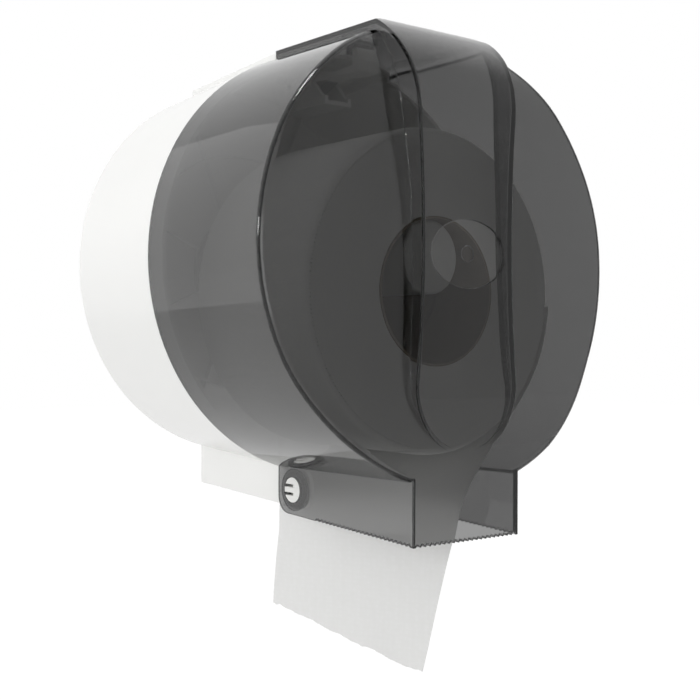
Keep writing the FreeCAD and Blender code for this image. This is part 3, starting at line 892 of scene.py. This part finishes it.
@dataclass
class PaperRoll:
    """Wound tissue on its board core."""

    nodes: Nodes
    segments: int = 256
    end_rings: int = 7
    end_facing: float = 0.5
    bore_cuts: int = 6
    core_gap: float = 0.1 * MM
    edge_round: float = 4.5 * MM
    edge_segments: int = 6
    slump: float = 0.25 * MM
    slump_pitch: float = 9 * MM
    slump_seed: float = 3.0
    near: float = 0.01 * MM
    smooth_angle: float = 50.0

    def __post_init__(self) -> None:
        """Take the roll's place and sizes from the frame."""
        low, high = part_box("paper_roll")
        self.radius = (high.x - low.x) / 2
        self.axis_height = (high.z + low.z) / 2
        self.middle_depth = (high.y + low.y) / 2
        self.width = high.y - low.y
        core_low, core_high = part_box("roll_core")
        self.bore = (core_high.x - core_low.x) / 2 + self.core_gap

    def windings(self) -> bpy.types.Object:
        """Model the wound tissue: a cylinder with a bore and soft edges.

        Returns:
            The wound tissue.
        """
        deselect()
        bpy.ops.mesh.primitive_cylinder_add(
            vertices=self.segments, radius=self.radius, depth=self.width, end_fill_type="NGON",
            location=(0, self.middle_depth, self.axis_height), rotation=(math.pi / 2, 0, 0),
        )
        roll = take("tissue_windings")
        bpy.ops.object.transform_apply(location=True, rotation=True, scale=False)
        bpy.ops.object.mode_set(mode="EDIT")
        bpy.ops.mesh.select_mode(type="FACE")
        select_faces(roll, lambda centre, normal: abs(normal.y) > self.end_facing)
        step = (self.radius - self.bore) / self.end_rings
        for _ in range(self.end_rings):
            bpy.ops.mesh.inset(thickness=step)
        bpy.ops.mesh.bridge_edge_loops(number_cuts=self.bore_cuts)
        bpy.ops.mesh.select_mode(type="EDGE")
        select_edges(roll, lambda start, end: self.on_rim(start) and self.on_rim(end))
        bpy.ops.mesh.bevel(offset=self.edge_round, segments=self.edge_segments)
        bpy.ops.object.mode_set(mode="OBJECT")
        self.slacken(roll)
        bpy.ops.object.shade_smooth_by_angle(angle=math.radians(self.smooth_angle))
        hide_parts("paper_roll")
        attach(roll, "roll")
        return roll

    def on_rim(self, point: Vector) -> bool:
        """Tell whether a point is on the outer edge of either end.

        Args:
            point: The point.

        Returns:
            True on an outer edge.
        """
        reach = math.hypot(point.x, point.z - self.axis_height)
        out = abs(abs(point.y - self.middle_depth) - self.width / 2)
        return reach > self.radius - self.near and out < self.near

    def slacken(self, roll: bpy.types.Object) -> None:
        """Press the ends in a little by rings, as hand-tight windings lie.

        Args:
            roll: The wound tissue.
        """
        for vertex in roll.data.vertices:
            place = vertex.co
            reach = math.hypot(place.x, place.z - self.axis_height)
            side = place.y - self.middle_depth
            if abs(side) > self.width / 2 - self.near and reach < self.radius - self.edge_round:
                seed = Vector((reach / self.slump_pitch, math.copysign(self.slump_seed, side), 0))
                place.y -= math.copysign((0.5 + 0.5 * noise.noise(seed)) * self.slump, side)

    def build(self) -> list[bpy.types.Object]:
        """Model the windings and dress them and the core.

        Returns:
            The windings and the core.
        """
        # Embossed tissue on the roll: white, with painted shade a little greyer between its dots
        # and along its rings
        tissue = Tissue(
            "two-ply tissue, wound", "F3F3F1", "E2E2E0", self.axis_height, Lay.WOUND
        )
        # Recycled board wound in a spiral: grey-brown with darker fibres
        board = WoundBoard("core board, spiral wound", "A09484", "7F7466", self.axis_height)
        roll = self.windings()
        dress(roll, tissue.material())
        return [roll] + dress_nodes(self.nodes, {"roll_core": board})


@dataclass
class LooseEnd:
    """The loose end of the tissue, which leaves the roll and hangs through the throat.

    Its turns are degrees round the roll, down from the right side. Its stops are points of
    the rear and the front edge: two on the way through the throat and one at the torn end.
    """

    roll: PaperRoll
    skin: float = 0.25 * MM
    lift_share: float = 0.6
    rows: int = 130
    columns: int = 40
    start_turn: float = 4.0
    leave_rear: float = 63.0
    leave_front: float = 37.0
    stops_rear: tuple[Place, ...] = (
        (-0.0243, -0.0837, -0.1253),
        (-0.0265, -0.0786, -0.1553),
        (-0.0243, -0.0711, -0.1960),
    )
    stops_front: tuple[Place, ...] = (
        (0.0258, -0.1781, -0.1253),
        (0.0243, -0.1696, -0.1553),
        (0.0132, -0.1571, -0.2253),
    )
    wrap_steps: int = 40
    span_steps: int = 60
    ripple: float = 6.0 * MM
    ripple_start: float = 0.45
    ripple_waves: tuple[float, float] = (2.1, 3.0)
    ripple_seed: float = 4.2
    fray: float = 0.9 * MM
    fray_rate: float = 0.7
    fray_seed: float = 9.0
    sweep: float = 1.44 * MM
    sweep_rate: float = 0.16
    sweep_seed: float = 5.0
    smooth_angle: float = 40.0

    def line(self, share: float) -> list[Vector]:
        """Follow the sheet down at one place across its width.

        Args:
            share: 0 at the rear edge, 1 at the front edge.

        Returns:
            Points down the sheet, evenly spaced.
        """
        radius = self.roll.radius + self.skin * self.lift_share
        depth = self.roll.middle_depth + (0.5 - share) * self.roll.width
        centre = Vector((0, depth, self.roll.axis_height))
        leave = math.radians(self.leave_rear + (self.leave_front - self.leave_rear) * share)
        start = math.radians(self.start_turn)
        points = []
        for index in range(self.wrap_steps):
            turn = start + (leave - start) * index / self.wrap_steps
            points.append(centre + Vector((math.cos(turn), 0, -math.sin(turn))) * radius)
        stops = [centre + Vector((math.cos(leave), 0, -math.sin(leave))) * radius]
        for rear, front in zip(self.stops_rear, self.stops_front):
            stops.append(Vector(rear).lerp(Vector(front), share))
        ways = [Vector((-math.sin(leave), 0, -math.cos(leave)))]
        for before, after in zip(stops, stops[2:]):
            ways.append((after - before).normalized())
        ways.append((stops[-1] - stops[-2]).normalized())
        for index in range(len(stops) - 1):
            points.extend(self.span(stops[index], stops[index + 1], ways[index], ways[index + 1]))
        return self.even(points + [stops[-1]])

    def span(self, near: Vector, far: Vector, leave: Vector, arrive: Vector) -> list[Vector]:
        """Join two stops by a smooth curve.

        Args:
            near: First stop.
            far: Second stop.
            leave: Direction of the sheet at the first stop.
            arrive: Direction of the sheet at the second stop.

        Returns:
            Points from the first stop up to, but without, the second.
        """
        third = (far - near).length / 3
        knots = (near, near + leave * third, far - arrive * third, far)
        points = []
        for index in range(self.span_steps):
            t = index / self.span_steps
            s = 1 - t
            weights = (s ** 3, 3 * s * s * t, 3 * s * t * t, t ** 3)
            points.append(sum((knot * weight for knot, weight in zip(knots, weights)), Vector()))
        return points

    def even(self, points: list[Vector]) -> list[Vector]:
        """Space points evenly along their line.

        Args:
            points: Points along a line.

        Returns:
            As many points as the sheet has rows of corners.
        """
        marks = [0.0]
        for near, far in zip(points, points[1:]):
            marks.append(marks[-1] + (far - near).length)
        spaced = []
        place = 0
        for row in range(self.rows + 1):
            want = marks[-1] * row / self.rows
            while place < len(marks) - 2 and marks[place + 1] < want:
                place += 1
            gap = marks[place + 1] - marks[place]
            part = (want - marks[place]) / gap if gap else 0.0
            spaced.append(points[place].lerp(points[place + 1], part))
        return spaced

    def sway(self, column: int, row: int) -> Vector:
        """Find how far one corner of the sheet is off its smooth line.

        Args:
            column: The corner's column, counted from the rear edge.
            row: The corner's row, counted from the roll.

        Returns:
            A ripple below the roll, and along the torn edge a fray over a long sweep.
        """
        across, down = self.ripple_waves
        free = max(0.0, row / self.rows - self.ripple_start)
        seed = Vector((column / self.columns * across, row / self.rows * down, self.ripple_seed))
        move = Vector((noise.noise(seed) * self.ripple * free, 0, 0))
        if row == self.rows:
            fray = noise.noise(Vector((column * self.fray_rate, 0, self.fray_seed)))
            sweep = noise.noise(Vector((column * self.sweep_rate, 0, self.sweep_seed)))
            move.z = fray * self.fray + sweep * self.sweep
        return move

    def build(self) -> list[bpy.types.Object]:
        """Model the sheet from a grid, torn at its lower edge, and dress it.

        Returns:
            The sheet, alone in a list.
        """
        deselect()
        bpy.ops.mesh.primitive_grid_add(
            x_subdivisions=self.columns, y_subdivisions=self.rows, size=1
        )
        sheet = take("tissue_loose_end")
        lines = [self.line(column / self.columns) for column in range(self.columns + 1)]
        for vertex in sheet.data.vertices:
            column = round((vertex.co.x + 0.5) * self.columns)
            row = round((0.5 - vertex.co.y) * self.rows)
            vertex.co = lines[column][row] + self.sway(column, row)
        bpy.ops.object.mode_set(mode="EDIT")
        bpy.ops.mesh.select_all(action="SELECT")
        bpy.ops.mesh.normals_make_consistent(inside=False)
        bpy.ops.object.mode_set(mode="OBJECT")
        thick = sheet.modifiers.new("ply", "SOLIDIFY")
        thick.thickness = self.skin
        thick.offset = 0
        bpy.ops.object.modifier_apply(modifier=thick.name)
        bpy.ops.object.shade_smooth_by_angle(angle=math.radians(self.smooth_angle))
        dress(sheet, LOOSE_TISSUE_PAINTED_LIGHTER.material())
        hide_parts("paper_tail")
        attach(sheet, "root")
        return [sheet]


def main() -> None:
    """Build every sub-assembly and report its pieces."""
    logging.basicConfig(level=logging.INFO, format="%(name)s: %(message)s")
    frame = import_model()
    cad_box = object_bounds()
    nodes = frame["nodes"]
    roll = PaperRoll(nodes)
    for part in (Housing(nodes), Cover(nodes), Spindle(nodes), Latch(nodes), roll, LooseEnd(roll)):
        for piece in part.build():
            LOG.info("%s: %s, %d faces", type(part).__name__, piece.name, len(piece.data.polygons))
    middle = (cad_box[0] + cad_box[1]) / 2
    Studio().build(LAMPS, middle)
    PhotoView().aim()


if __name__ == "__main__":
    main()
